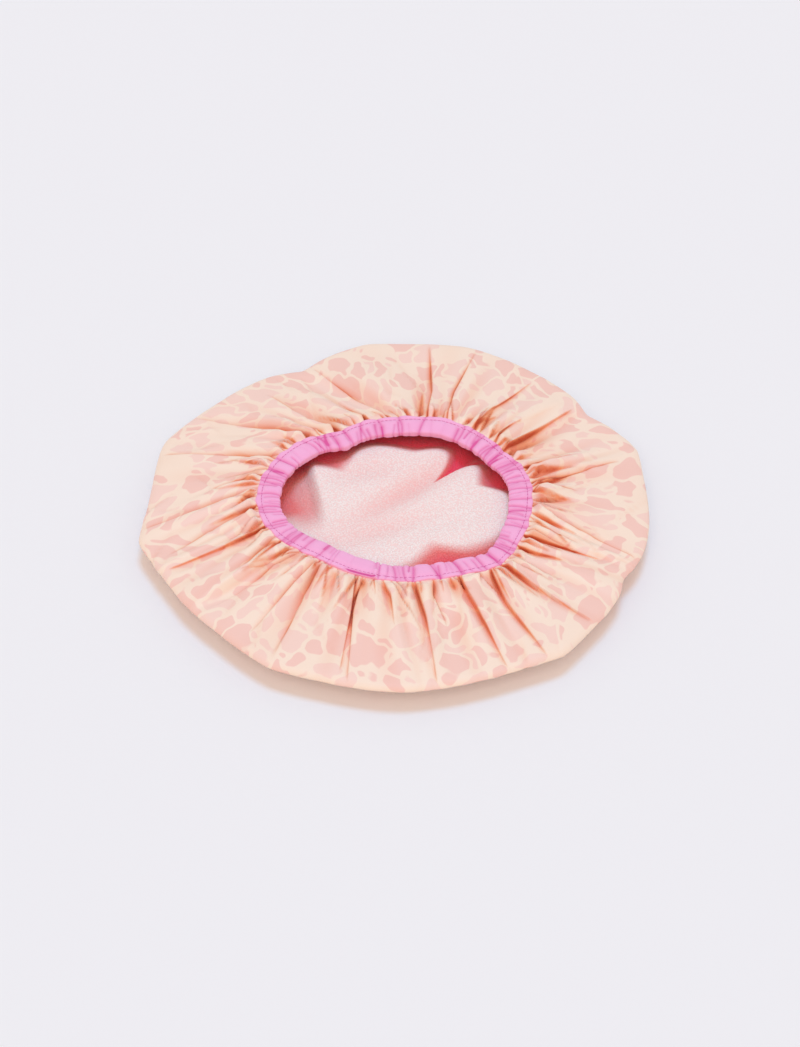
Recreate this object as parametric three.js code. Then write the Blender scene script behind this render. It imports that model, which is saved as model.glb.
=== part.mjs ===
// Shower cap lying crown down with its mouth up: a gathered shell and lining, held by an elastic rim.
// Millimetres, +Z up, ground at z = 0, middle of the outline at the origin, front of the cap towards -Y.
import * as THREE from "three";

const { degToRad } = THREE.MathUtils;

// Cap body
const CAP_DIAMETER = 292; // across the outer fold, clear of its corners and notches
const FOLD_OVERHANG = 38; // outer fold beyond the flat of the crown that rests on the ground
const FOLD_HEIGHT = 14; // outer fold above the ground
const BELLY_BEND = 1.5; // power of the rise from the resting flat to the outer fold
const EDGE_RISE = 2.6; // shoulder of the skirt above the outer fold
const EDGE_INSET = 5; // from the outer fold in to the shoulder
const EDGE_LEAN = degToRad(20); // tilt of the shoulder's face away from level

// Corners and notches of the outline: direction, how far each stands out, and half its breadth, in degrees
const OUTLINE_CORNERS = [
  { turn: -169, out: 8, breadth: 9 },
  { turn: -136, out: -1.5, breadth: 9 },
  { turn: -119, out: 2.5, breadth: 7 },
  { turn: -90, out: 2, breadth: 10 },
  { turn: -53, out: 4.5, breadth: 7 },
  { turn: -25, out: -5, breadth: 6 },
  { turn: 20, out: 5.5, breadth: 8 },
  { turn: 36, out: -5, breadth: 5 },
  { turn: 75, out: 9, breadth: 20 },
  { turn: 98, out: 5, breadth: 8 },
  { turn: 116, out: -7, breadth: 6 },
  { turn: 158, out: 7.5, breadth: 12 },
];
const CORNER_POWER = 1.5; // how sharply a corner falls off: 1 is a point, 2 is round

// Long folds of the gathered skirt, in order round the cap. Each is a valley from the rim out to its reach,
// with a crest of the given height beside it, on the side of larger turns (1) or of smaller ones (-1).
const LONG_FOLDS = [
  { rimTurn: -178, outerTurn: -172, reach: 150, height: 3.5, crestSide: 1 },
  { rimTurn: -153, outerTurn: -156, reach: 144, height: 5, crestSide: 1 },
  { rimTurn: -141, outerTurn: -140, reach: 114, height: 3, crestSide: 1 },
  { rimTurn: -123, outerTurn: -127, reach: 136, height: 4.5, crestSide: 1 },
  { rimTurn: -116, outerTurn: -117, reach: 151, height: 5, crestSide: 1 },
  { rimTurn: -102, outerTurn: -102, reach: 150, height: 4.5, crestSide: 1 },
  { rimTurn: -81, outerTurn: -81, reach: 148, height: 4.5, crestSide: 1 },
  { rimTurn: -70, outerTurn: -73, reach: 118, height: 3.5, crestSide: 1 },
  { rimTurn: -60, outerTurn: -66, reach: 147, height: 5, crestSide: 1 },
  { rimTurn: -52, outerTurn: -56, reach: 152, height: 3.5, crestSide: 1 },
  { rimTurn: -47, outerTurn: -43, reach: 150, height: 5, crestSide: -1 },
  { rimTurn: -26, outerTurn: -26, reach: 122, height: 3.5, crestSide: -1 },
  { rimTurn: -12, outerTurn: -18, reach: 144, height: 4, crestSide: -1 },
  { rimTurn: 15, outerTurn: 16, reach: 128, height: 3.5, crestSide: -1 },
  { rimTurn: 40, outerTurn: 34, reach: 146, height: 6, crestSide: 1 },
  { rimTurn: 66, outerTurn: 69, reach: 146, height: 3, crestSide: -1 },
  { rimTurn: 77, outerTurn: 82, reach: 150, height: 3, crestSide: -1 },
  { rimTurn: 93, outerTurn: 112, reach: 146, height: 4, crestSide: 1 },
  { rimTurn: 123, outerTurn: 133, reach: 136, height: 4, crestSide: 1 },
  { rimTurn: 140, outerTurn: 151, reach: 148, height: 4, crestSide: 1 },
  { rimTurn: 154, outerTurn: 165, reach: 144, height: 3.5, crestSide: 1 },
  { rimTurn: 172, outerTurn: 175, reach: 112, height: 3, crestSide: 1 },
];
const CREST_TURN = 1.8; // from a valley to its crest, in degrees
const VALLEY_DEPTH = 0.8; // valley below the mean skirt, for each millimetre of the crest's height
const FULL_SHARE = 0.3; // part of a fold's length, from the rim, that has its full height

// Cloth of the shell and the lining
const SHELL_THICKNESS = 0.5;
const TERRY_THICKNESS = 2.2;
const TERRY_EDGE_THICKNESS = 1.5; // pile pressed flat in the binding
const LAYER_GAP = 0.3; // between cloth layers

// Soft folds of the lining in the middle of the cap
const FLOOR_MIDDLE_RISE = 9; // lining clear of the shell in the middle
const FLOOR_RING_RISE = 6; // lining clear of the shell round the folds
const FLOOR_RING_DIAMETER = 120;
const FLOOR_FOLDS = 3;
const FLOOR_FOLD_HEIGHT = 3; // crest above the mean, and valley below it
const FLOOR_FOLD_TURN = degToRad(55); // direction between the first valley and the first crest

// Rim, an oval that lies nearly flat
const RIM_WIDTH = 164; // across the outer edge of the binding, left to right
const RIM_DEPTH = 142; // across the outer edge of the binding, front to back
const RIM_LEFT_SHIFT = 2.4; // middle of the rim to the left of the middle of the folds
const RIM_FRONT_SHIFT = 2; // middle of the rim to the front of the middle of the folds
const RIM_RISE = 10; // middle of the binding's outer edge above the outer fold
const RIM_DROP = 2.4; // inner edge of the binding below its outer edge
const RIM_CUTS = 66; // sections of the binding and the elastic round the rim

// Where the gathers let the rim out or draw it in: direction, how far, and half the breadth, in degrees
const RIM_CORNERS = [
  { turn: -128, out: -7, breadth: 26 },
  { turn: -47, out: 6, breadth: 14 },
  { turn: -5, out: -2.4, breadth: 22 },
  { turn: 36, out: -2.2, breadth: 9 },
  { turn: 70, out: 4.2, breadth: 18 },
  { turn: 117, out: -5.2, breadth: 10 },
];

// Elastic
const ELASTIC_WIDTH = 8;
const ELASTIC_THICKNESS = 1;
const ELASTIC_LAP = 20; // overlap of the joined ends
const ELASTIC_JOIN_TURN = degToRad(-135); // middle of the overlap

// Binding tape
const TAPE_THICKNESS = 0.5;
const FLANGE = 3; // outer edge to the row of stitches
const SEAM_ALLOWANCE = 1; // row of stitches to the inner end of the cloth's place
const EDGE_EASE = 0.4; // cloth edge to the end of its place, and end of the place to the elastic
const INNER_FOLD = 2.5; // thickness of the folded inner edge
const RUCHES = 33; // cross gathers round the binding
const RUCHE_HEIGHT = 0.8;
const TAPE_LAP = 34; // overlap of the tape ends
const TAPE_LAP_TURN = degToRad(-98); // free end of the lap
const TAPE_LAP_STEP = 0.7; // turned-under end stands up this far

// Sewing thread
const THREAD_DIAMETER = 0.4;
const THREAD_SIDES = 6;
const SEAT_GAP = 0.1; // between a thread and what it lies on
const JOIN_STITCHES = 8; // zigzags of the elastic's join
const JOIN_MARGIN = 1; // join stitches from the edges and ends of the elastic's overlap

// Sizes that follow from those above
const layers = SHELL_THICKNESS + LAYER_GAP + TERRY_EDGE_THICKNESS;
const throatHalf = layers / 2 + LAYER_GAP;
const joinedTop = ELASTIC_THICKNESS / 2 + ELASTIC_THICKNESS; // upper face of the doubled elastic
const channelHalf = joinedTop + SEAT_GAP + THREAD_DIAMETER + LAYER_GAP;
const edgeDepth = FLANGE + SEAM_ALLOWANCE;
const elasticOuter = edgeDepth + 2 * EDGE_EASE;
const elasticInner = elasticOuter + ELASTIC_WIDTH;
const channelInner = elasticInner + LAYER_GAP;
const bindingWidth = channelInner + INNER_FOLD;
const flangeTop = throatHalf + TAPE_THICKNESS;
const channelTop = channelHalf + TAPE_THICKNESS;
const stepRun = TAPE_THICKNESS; // length over which the free end of a lap steps down
const rampRun = edgeDepth; // length over which the covered end of a lap rises

const WHOLE_TURN = 2 * Math.PI;
const TURN_ROUNDING = 1e-9;
const turns = Array.from({ length: RIM_CUTS }, (_, index) => (index * WHOLE_TURN) / RIM_CUTS);
const wrapped = (turn) => ((turn % WHOLE_TURN) + WHOLE_TURN) % WHOLE_TURN;

// How far the corners and notches of a line stand out at a turn
function standOut(corners, turn) {
  const shares = corners.map((corner) => {
    const aside = wrapped(turn - degToRad(corner.turn) + Math.PI) - Math.PI;
    return corner.out * Math.exp(-(Math.abs(aside / degToRad(corner.breadth)) ** CORNER_POWER));
  });
  return shares.reduce((sum, share) => sum + share, 0);
}

// A place on the rim, by its turn round the oval, inward of the binding's outer edge and up from its middle
function rimPoint(turn, inward, up) {
  const halfWidth = RIM_WIDTH / 2;
  const halfDepth = RIM_DEPTH / 2;
  const outward = new THREE.Vector2(Math.cos(turn) / halfWidth, Math.sin(turn) / halfDepth).normalize();
  const out = standOut(RIM_CORNERS, turn) - inward;
  return new THREE.Vector3(
    halfWidth * Math.cos(turn) + out * outward.x - RIM_LEFT_SHIFT,
    halfDepth * Math.sin(turn) + out * outward.y - RIM_FRONT_SHIFT,
    FOLD_HEIGHT + RIM_RISE + up - (RIM_DROP * inward) / bindingWidth,
  );
}

// Length along the plain oval for each radian of turn
function rimReach(turn) {
  return Math.hypot((RIM_WIDTH / 2) * Math.sin(turn), (RIM_DEPTH / 2) * Math.cos(turn));
}

// Outer fold of the cap in plan
function foldPoint(turn) {
  const radius = CAP_DIAMETER / 2 + standOut(OUTLINE_CORNERS, turn);
  return new THREE.Vector2(radius * Math.cos(turn), radius * Math.sin(turn));
}

// Columns of the cloth from the rim to the outer fold: for each long fold its valley, its crest,
// and the middle of the flat panel between it and the next fold
function foldColumns(fold, index) {
  const isLast = index === LONG_FOLDS.length - 1;
  const next = LONG_FOLDS[isLast ? 0 : index + 1];
  const wholeTurn = isLast ? 360 : 0;
  const aside = fold.crestSide * CREST_TURN;
  const column = (rimTurn, outerTurn, rise) => ({
    rimTurn: degToRad(rimTurn),
    outerTurn: degToRad(outerTurn),
    reach: fold.reach,
    rise,
  });
  const valley = column(fold.rimTurn, fold.outerTurn, -VALLEY_DEPTH * fold.height);
  const crest = column(fold.rimTurn + aside, fold.outerTurn + aside, fold.height);
  const panel = column(
    (fold.rimTurn + next.rimTurn + wholeTurn) / 2,
    (fold.outerTurn + next.outerTurn + wholeTurn) / 2,
    0,
  );
  return fold.crestSide > 0 ? [valley, crest, panel] : [crest, valley, panel];
}

// Rings of one column of the cloth, from the resting flat out round the fold and in to the binding.
// Each gives a point of the shell's outer face and the direction that is outward there.
const BELLY_WAY = 0.5; // way out from the resting flat to the outer fold
const SKIRT_WAYS = [0.45, 0.8]; // ways in from the shoulder to the binding
const FOLD_PILE = 1.4; // lining bunched in the outer fold, against its thickness elsewhere

function tilted(direction, along, up) {
  return new THREE.Vector3(direction.x * along, direction.y * along, up);
}

function clothRings({ rimTurn, outerTurn, reach, rise }) {
  const fold = foldPoint(outerTurn);
  const radial = fold.clone().normalize();
  const mouth = rimPoint(rimTurn, -LAYER_GAP, layers / 2);
  const rim = new THREE.Vector2(mouth.x, mouth.y);
  const inward = rim.clone().sub(fold).normalize();
  const span = rim.distanceTo(fold);
  const shoulder = FOLD_HEIGHT + EDGE_RISE;
  const slope = (mouth.z - shoulder) / (span - EDGE_INSET);
  const foldLength = reach - rim.length();
  const ring = (plan, height, out, terry, fromRim) => {
    const share = THREE.MathUtils.smoothstep(fromRim / foldLength, FULL_SHARE, 1);
    return {
      at: new THREE.Vector3(plan.x, plan.y, height),
      out: out.normalize(),
      gathered: rise * (1 - share),
      terry,
    };
  };
  const skirtRing = (wayIn, out) => {
    const height = shoulder + slope * (wayIn - EDGE_INSET);
    return ring(fold.clone().addScaledVector(inward, wayIn), height, out, TERRY_THICKNESS, span - wayIn);
  };
  const sewnRing = (at) => ({
    at,
    out: new THREE.Vector3(0, 0, 1),
    gathered: 0,
    terry: TERRY_EDGE_THICKNESS,
  });
  const flatEdge = fold.clone().addScaledVector(radial, -FOLD_OVERHANG);
  const belly = fold.clone().addScaledVector(radial, -FOLD_OVERHANG * (1 - BELLY_WAY));
  const bellyHeight = FOLD_HEIGHT * BELLY_WAY ** BELLY_BEND;
  const bellySlope = (BELLY_BEND * bellyHeight) / (FOLD_OVERHANG * BELLY_WAY);
  const skirtWay = (way) => EDGE_INSET + (span - EDGE_INSET) * way;
  return [
    ring(flatEdge, 0, tilted(radial, 0, -1), TERRY_THICKNESS, foldLength),
    ring(belly, bellyHeight, tilted(radial, bellySlope, -1), TERRY_THICKNESS, foldLength),
    ring(fold, FOLD_HEIGHT, tilted(radial, 1, 0), FOLD_PILE * TERRY_THICKNESS, foldLength),
    skirtRing(EDGE_INSET, tilted(inward, -Math.sin(EDGE_LEAN), Math.cos(EDGE_LEAN))),
    ...SKIRT_WAYS.map((way) => skirtRing(skirtWay(way), tilted(inward, -slope, 1))),
    sewnRing(mouth),
    sewnRing(rimPoint(rimTurn, edgeDepth - EDGE_EASE, layers / 2)),
  ];
}

// One cloth as a closed body: two faces from a middle point out over rings, joined at the last ring
function clothBody(outerMiddle, outerRings, innerMiddle, innerRings) {
  const points = [outerMiddle, innerMiddle, ...outerRings.flat(), ...innerRings.flat()];
  const faces = [];
  const around = outerRings[0].length;
  const last = outerRings.length - 1;
  const outer = (ring, index) => 2 + ring * around + (index % around);
  const inner = (ring, index) => outer(ring + outerRings.length, index);
  for (let index = 0; index < around; index++) {
    faces.push(0, outer(0, index + 1), outer(0, index));
    faces.push(1, inner(0, index), inner(0, index + 1));
    for (let ring = 0; ring < last; ring++) {
      faces.push(outer(ring, index), outer(ring, index + 1), outer(ring + 1, index + 1));
      faces.push(outer(ring, index), outer(ring + 1, index + 1), outer(ring + 1, index));
      faces.push(inner(ring, index), inner(ring + 1, index + 1), inner(ring, index + 1));
      faces.push(inner(ring, index), inner(ring + 1, index), inner(ring + 1, index + 1));
    }
    faces.push(outer(last, index), outer(last, index + 1), inner(last, index + 1));
    faces.push(outer(last, index), inner(last, index + 1), inner(last, index));
  }
  return bodyFrom(points, faces);
}

// A closed section carried round the rim, as a closed body
function rimBody(sections) {
  const corners = sections[0].length;
  const faces = [];
  for (let index = 0; index < sections.length; index++) {
    const here = index * corners;
    const next = ((index + 1) % sections.length) * corners;
    for (let corner = 0; corner < corners; corner++) {
      const after = (corner + 1) % corners;
      faces.push(here + corner, next + corner, next + after);
      faces.push(here + corner, next + after, here + after);
    }
  }
  return bodyFrom(sections.flat(), faces);
}

function bodyFrom(points, faces) {
  const geometry = new THREE.BufferGeometry().setFromPoints(points);
  geometry.setIndex(faces);
  geometry.computeVertexNormals();
  return geometry;
}

function piece(name, geometry, color, roughness) {
  const mesh = new THREE.Mesh(geometry, new THREE.MeshStandardMaterial({ color, roughness, metalness: 0 }));
  mesh.name = name;
  return mesh;
}

// Outer shell and lining
const columns = LONG_FOLDS.flatMap(foldColumns);
const cloth = columns.map(clothRings);
const ringCount = cloth[0].length;

function clothFace(inset) {
  return Array.from({ length: ringCount }, (_, ring) =>
    cloth.map((column) => {
      const { at, out, gathered, terry } = column[ring];
      return at.clone().addScaledVector(out, gathered - inset(terry));
    }),
  );
}

const shellOuter = clothFace(() => 0);
const shellInner = clothFace(() => SHELL_THICKNESS);
const liningOuter = clothFace(() => SHELL_THICKNESS + LAYER_GAP);
const liningInner = clothFace((terry) => SHELL_THICKNESS + LAYER_GAP + terry);
const liningBase = SHELL_THICKNESS + LAYER_GAP;

function floorMiddle(height) {
  return new THREE.Vector3(0, 0, height + FLOOR_MIDDLE_RISE);
}

function floorRing(height) {
  const radius = FLOOR_RING_DIAMETER / 2;
  return columns.map(({ outerTurn }) => {
    const folds = FLOOR_FOLD_HEIGHT * Math.sin(FLOOR_FOLDS * (outerTurn - FLOOR_FOLD_TURN));
    const rise = height + FLOOR_RING_RISE + folds;
    return new THREE.Vector3(radius * Math.cos(outerTurn), radius * Math.sin(outerTurn), rise);
  });
}

const outerShell = clothBody(
  new THREE.Vector3(0, 0, 0),
  shellOuter,
  new THREE.Vector3(0, 0, SHELL_THICKNESS),
  shellInner,
);
const terryLining = clothBody(
  floorMiddle(liningBase),
  [floorRing(liningBase), ...liningOuter],
  floorMiddle(liningBase + TERRY_THICKNESS),
  [floorRing(liningBase + TERRY_THICKNESS), ...liningInner],
);

// Turns at which a lapped band is cut: the shared ones, and a step down just past the free end of the lap
function lapTurns(freeEnd) {
  const step = stepRun / rimReach(freeEnd);
  const clear = turns.filter((turn) => Math.abs(wrapped(turn - freeEnd + Math.PI) - Math.PI) > 2 * step);
  return [...clear, wrapped(freeEnd), wrapped(freeEnd + step)].sort((a, b) => a - b);
}

// Share of a lap that covers a turn: 1 on the lap, 0 past its free end, and a ramp where it begins
function lapShare(turn, freeEnd, length) {
  const back = wrapped(freeEnd - turn + TURN_ROUNDING) * rimReach(freeEnd);
  return THREE.MathUtils.clamp((length - back) / rampRun + 1, 0, 1);
}

// Binding tape: two leaves and a folded inner edge, ruched between the stitches and the fold
const bindingTurns = lapTurns(TAPE_LAP_TURN);

function tapeLap(turn) {
  return lapShare(turn, TAPE_LAP_TURN, TAPE_LAP);
}

function tapeTop(turn) {
  return flangeTop + TAPE_LAP_STEP * tapeLap(turn);
}

function tapeSection(turn) {
  const lap = tapeLap(turn);
  const raised = TAPE_LAP_STEP * lap;
  const ruche = (RUCHE_HEIGHT * (1 - lap) * (1 + Math.cos(RUCHES * turn))) / 2;
  const puff = channelTop + raised + ruche;
  const stitched = FLANGE + THREAD_DIAMETER;
  const outline = [
    [0, tapeTop(turn)],
    [stitched, tapeTop(turn)],
    [edgeDepth, puff],
    [channelInner, puff],
    [bindingWidth + raised + ruche, 0],
    [channelInner, -puff],
    [edgeDepth, -puff],
    [stitched, -tapeTop(turn)],
    [0, -tapeTop(turn)],
    [0, -throatHalf],
    [edgeDepth, -throatHalf],
    [edgeDepth + EDGE_EASE, -channelHalf],
    [channelInner, -channelHalf],
    [channelInner, channelHalf],
    [edgeDepth + EDGE_EASE, channelHalf],
    [edgeDepth, throatHalf],
    [0, throatHalf],
  ];
  return outline.map(([inward, up]) => rimPoint(turn, inward, up));
}

const bindingTape = rimBody(bindingTurns.map(tapeSection));

// Elastic band, lapped and doubled at its join
const joinReach = rimReach(ELASTIC_JOIN_TURN);
const joinEnd = ELASTIC_JOIN_TURN + ELASTIC_LAP / 2 / joinReach;
const elasticTurns = lapTurns(joinEnd);

function elasticSection(turn) {
  const bottom = -ELASTIC_THICKNESS / 2;
  const top = -bottom + ELASTIC_THICKNESS * lapShare(turn, joinEnd, ELASTIC_LAP);
  return [
    rimPoint(turn, elasticOuter, top),
    rimPoint(turn, elasticInner, top),
    rimPoint(turn, elasticInner, bottom),
    rimPoint(turn, elasticOuter, bottom),
  ];
}

const elasticBand = rimBody(elasticTurns.map(elasticSection));

// Zigzag stitches over the elastic's join, drawn flat and then laid on the overlap
function joinStitch() {
  const half = THREAD_DIAMETER / 2;
  const length = ELASTIC_LAP - 2 * JOIN_MARGIN;
  const pitch = length / JOIN_STITCHES;
  const near = elasticOuter + JOIN_MARGIN;
  const far = elasticInner - JOIN_MARGIN;
  const lean = Math.hypot(pitch, far - near) / pitch; // keeps slanted thread as wide as straight thread
  const line = Array.from({ length: JOIN_STITCHES + 1 }, (_, index) => [
    index * pitch - length / 2,
    index % 2 ? far : near,
  ]);
  const right = line.map(([along, across]) => new THREE.Vector2(along, across - half * lean));
  const left = line.map(([along, across]) => new THREE.Vector2(along, across + half * lean)).reverse();
  const flat = new THREE.ExtrudeGeometry(new THREE.Shape([...right, ...left]), {
    depth: THREAD_DIAMETER,
    bevelEnabled: false,
    steps: 1,
  });
  const place = flat.getAttribute("position");
  const lift = joinedTop + SEAT_GAP;
  for (let index = 0; index < place.count; index++) {
    const turn = ELASTIC_JOIN_TURN + place.getX(index) / joinReach;
    const laid = rimPoint(turn, place.getY(index), lift + place.getZ(index));
    place.setXYZ(index, laid.x, laid.y, laid.z);
  }
  flat.computeVertexNormals();
  return flat;
}

// Lockstitch threads along the flange, one on each face of the binding
function threadSection(turn, side) {
  const middle = side * (tapeTop(turn) + SEAT_GAP + THREAD_DIAMETER / 2);
  return Array.from({ length: THREAD_SIDES }, (_, index) => {
    const angle = (-index * 2 * Math.PI) / THREAD_SIDES;
    const inward = FLANGE + (THREAD_DIAMETER / 2) * Math.cos(angle);
    return rimPoint(turn, inward, middle + (THREAD_DIAMETER / 2) * Math.sin(angle));
  });
}

const topThread = rimBody(bindingTurns.map((turn) => threadSection(turn, 1)));
const bobbinThread = rimBody(bindingTurns.map((turn) => threadSection(turn, -1)));

const cap = new THREE.Group();
cap.name = "shower_cap";
cap.add(
  piece("outer_shell", outerShell, 0xf9e5d4, 0.6),
  piece("terry_lining", terryLining, 0xf5d2cf, 0.95),
  piece("binding_tape", bindingTape, 0xf4a1d1, 0.7),
  piece("elastic_band", elasticBand, 0xf2f0ee, 0.8),
  piece("elastic_join_stitch", joinStitch(), 0xf2f0ee, 0.6),
  piece("binding_top_thread", topThread, 0xf08fc4, 0.6),
  piece("binding_bobbin_thread", bobbinThread, 0xf08fc4, 0.6),
);

// Middle of the outline put over the origin
const middle = new THREE.Box3().setFromObject(cap).getCenter(new THREE.Vector3());
for (const mesh of cap.children) mesh.geometry.translate(-middle.x, -middle.y, 0);

export default cap;
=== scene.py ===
import math

import bpy
import numpy as np
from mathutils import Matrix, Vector


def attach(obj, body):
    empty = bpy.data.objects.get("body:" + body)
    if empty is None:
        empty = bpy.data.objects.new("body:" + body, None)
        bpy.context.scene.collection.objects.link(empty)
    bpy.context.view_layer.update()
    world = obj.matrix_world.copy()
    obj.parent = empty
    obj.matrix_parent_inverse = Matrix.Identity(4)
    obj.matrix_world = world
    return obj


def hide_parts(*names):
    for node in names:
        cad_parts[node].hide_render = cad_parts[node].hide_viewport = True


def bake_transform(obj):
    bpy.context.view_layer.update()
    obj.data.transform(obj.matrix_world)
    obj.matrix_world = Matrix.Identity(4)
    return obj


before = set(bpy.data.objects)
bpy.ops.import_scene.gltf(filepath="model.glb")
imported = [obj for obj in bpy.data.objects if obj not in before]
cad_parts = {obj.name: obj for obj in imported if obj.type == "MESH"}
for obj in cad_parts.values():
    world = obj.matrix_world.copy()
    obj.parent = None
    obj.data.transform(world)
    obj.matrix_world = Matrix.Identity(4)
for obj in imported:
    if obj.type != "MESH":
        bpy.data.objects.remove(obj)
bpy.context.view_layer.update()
scene = bpy.context.scene
scene.view_settings.view_transform = "Standard"

# Camera: straight in front of the cap and 43 degrees above it, far enough away to draw it nearly
# without perspective. Its lens gives the cap the photograph's size in the frame.
CAMERA_PLACE = Vector((0.0026, -1.1040, 1.0296))
CAMERA_TARGET = Vector((0.0026, -0.0070, 0.0066))
CAMERA_LENS = 114.75
SENSOR_WIDTH = 36
camera_data = bpy.data.cameras.new("camera")
camera_data.sensor_fit = "HORIZONTAL"
camera_data.sensor_width = SENSOR_WIDTH
camera_data.lens = CAMERA_LENS
camera = bpy.data.objects.new("camera", camera_data)
camera.location = CAMERA_PLACE
camera.rotation_euler = (CAMERA_TARGET - CAMERA_PLACE).to_track_quat("-Z", "Y").to_euler()
scene.collection.objects.link(camera)
scene.camera = camera

# Outer shell: one circle of thin coated polyester with a spotted print, resting on its crown and turned
# over at a crisp outer fold. Its edge is drawn together into the binding, which leaves some thirty long
# folds lying over each other in the skirt and many short pleats by the binding. Sizes in millimetres.
MM = 0.001
FOLD_MIDDLE = np.array((2.7, -2.3))
CAP_RADIUS = 146.0
FOLD_HEIGHT = 14.0
OVERHANG = 38.0  # how far the outer fold stands out beyond the resting crown
BELLY_BEND = 1.5  # above 1, the cloth leaves the ground gently and is steepest by the fold
GROUND_STRIP = 14.0
EDGE_RISE = 2.6
EDGE_ROUND = 5.0
RIM_MIDDLE = np.array((0.3, -4.3))
RIM_HALF = np.array((82.0, 71.0))
RIM_CLEARANCE = 0.3
SHELL_AT_RIM = 24.6
SEWN_IN = 3.6
SEWN_DIP = 0.5
SHELL_THICKNESS = 0.3
CORNER_POWER = 1.5  # between a pointed corner (1) and a round one (2)
# Corners and notches of the outline: turn in degrees, how far they stand out, half breadth in degrees
OUTLINE_CORNERS = (
    (-169, 8, 9), (-136, -1.5, 9), (-119, 2.5, 7), (-90, 2, 10), (-53, 4.5, 7), (-25, -5, 6),
    (20, 5.5, 8), (36, -5, 5), (75, 9, 20), (98, 5, 8), (116, -7, 6), (158, 7.5, 12),
)
# Where the gathers let the rim out or draw it in, in the same way
RIM_CORNERS = (
    (-128, -7, 26), (-47, 6, 14), (-5, -2.4, 22), (36, -2.2, 9), (70, 4.2, 18), (117, -5.2, 10),
)

# Grid of the cloth: columns run from the crown to the rim and stand closer by folds and pleats
COLUMNS = 1120
GROUND_ROWS = 2
BELLY_ROWS = 5
EDGE_ROWS = 5
SKIRT_ROWS = 28
SEWN_ROWS = 2
ROW_CROWDING = 1.35  # above 1, the rows of the skirt draw closer to each other towards the rim
FINE_TURNS = 20001
CLOSE_AT_FOLD = (3, 1.5)  # how much closer, and half breadth in degrees
CLOSE_AT_PLEAT = (1.2, 0.6)

# Long folds: turn at the rim and at the outer fold in degrees, the share of the skirt that they cross,
# height of the crest, the side on which the crest lies over the valley, and the valley's width
LONG_FOLDS = (
    (-172, -161, 0.86, 1.1, 1, 6),
    (-160, -157.5, 0.94, 1.9, -1, 7),
    (-147, -145, 0.46, 1.4, 1, 5),
    (-134, -141, 0.66, 2.0, 1, 9),
    (-124.5, -128.5, 0.84, 2.2, 1, 5),
    (-121.5, -119, 0.92, 2.6, 1, 5),
    (-107, -103.5, 0.90, 2.4, -1, 6),
    (-103.5, -101.5, 0.98, 2.0, 1, 3),
    (-95, -88, 0.42, 2.0, 1, 4),
    (-82.3, -82, 0.98, 2.6, 1, 3),
    (-75, -76, 0.42, 2.0, -1, 4),
    (-64.5, -65.8, 0.98, 3.0, 1, 5),
    (-51.5, -56.5, 0.98, 2.6, 1, 4),
    (-46.5, -41.5, 0.98, 2.8, 1, 6),
    (-33.5, -27, 0.44, 1.8, 1, 4),
    (-26, -21.5, 0.72, 1.7, 1, 6),
    (-6, -18.5, 0.98, 1.2, -1, 5),
    (5, 5, 0.38, 1.2, -1, 4),
    (10.5, 17, 0.80, 1.2, -1, 6),
    (20, 23, 0.28, 1.2, -1, 4),
    (38, 39.5, 0.88, 3.0, 1, 20),
    (44, 46, 0.36, 1.3, 1, 3),
    (56, 54, 0.86, 0.7, 1, 5),
    (69, 71.5, 0.95, 0.9, -1, 4),
    (77, 83, 0.97, 1.6, -1, 4),
    (93, 114, 0.94, 1.8, 1, 6),
    (103, 118, 0.32, 1.6, 1, 4),
    (118, 131, 0.74, 1.9, 1, 14),
    (131, 148, 0.97, 1.5, 1, 12),
    (151, 163, 0.96, 1.2, 1, 6),
    (164, 180, 0.44, 1.2, 1, 5),
    (173, 188, 0.97, 1.2, 1, 6),
)
FOLD_BOW = 3.0  # long folds bow aside by this much at most
FOLD_SEED = 12

# Shape of every fold and pleat, in shares of its own length, height and width
BOW_AT = 0.35
TAIL_HEIGHT = 0.3  # the tail of a fold runs on, and the rest of its height fades out
TAIL_END = 0.9
FADE = (0.15, 0.85)
CREST_START = 4.5  # from the binding, in millimetres
VALLEY_START = 1.5  # on both sides of the binding's edge
VALLEY_DEPTH = 0.9
VALLEY_ENDS = 0.35  # width at both ends
VALLEY_SKEW = 0.8  # below 1, a valley is widest nearer the rim
CREST_STEP = 0.5  # half width of the step from the valley to the crest, in millimetres
CREST_BACK = 2.4
OVERLAP = 0.35
OVERLAP_REACH = 0.5
LIFT_LIMITS = (-4.5, 5)

# Painted shade of folds, for the light that is lost between layers: the valley, and a line along the
# overlap
VALLEY_SHADE = 0.4
LINE_SHADE = 0.8
LINE_FADE = (0.03, 0.55)
LINE_WIDTH = 0.55
LINE_GAIN = 0.3  # deeper folds have wider lines
LINE_ON_CREST = 0.35
PATCHES = 0.25
PATCH_TURN = 9  # radians along the fold
FOLD_SHADE = (1.35, 0.55)  # at the back, and how much less at the front
PLEAT_SHADE = (0.8, 0.25)

# Pleats by the binding, ruffles round it, waves of the panels and crinkles in them, all by chance
PLEATS = 104
PLEAT_STRAY = 1.7  # degrees
PLEAT_LENGTH = (8, 36)
PLEAT_HEIGHT = (1.0, 3.0)
PLEAT_WIDTH = (1.4, 3.4)
PLEAT_SLANT = 0.4
RUFFLES = 18
RUFFLE_WAVES = (22, 60)
RUFFLE_HEIGHT = (0.3, 0.7)
RUFFLE_START = 5.0
RUFFLE_REACH = 24.0
RUFFLE_LEAN = 2.0  # radians over the length below
RUFFLE_LENGTH = 30.0
RUFFLE_SHADE = 0.2
PANEL_LENGTH = 70.0
PANEL_WAVES = range(5, 24)
PANEL_HEIGHT = (0.1, 0.5)
PANEL_LEAN = 4.5
CRINKLES = 90
CRINKLE_LIE = 50  # degrees to either side
CRINKLE_HALF = (6, 16)
CRINKLE_PLACE = (14, 66)
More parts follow.
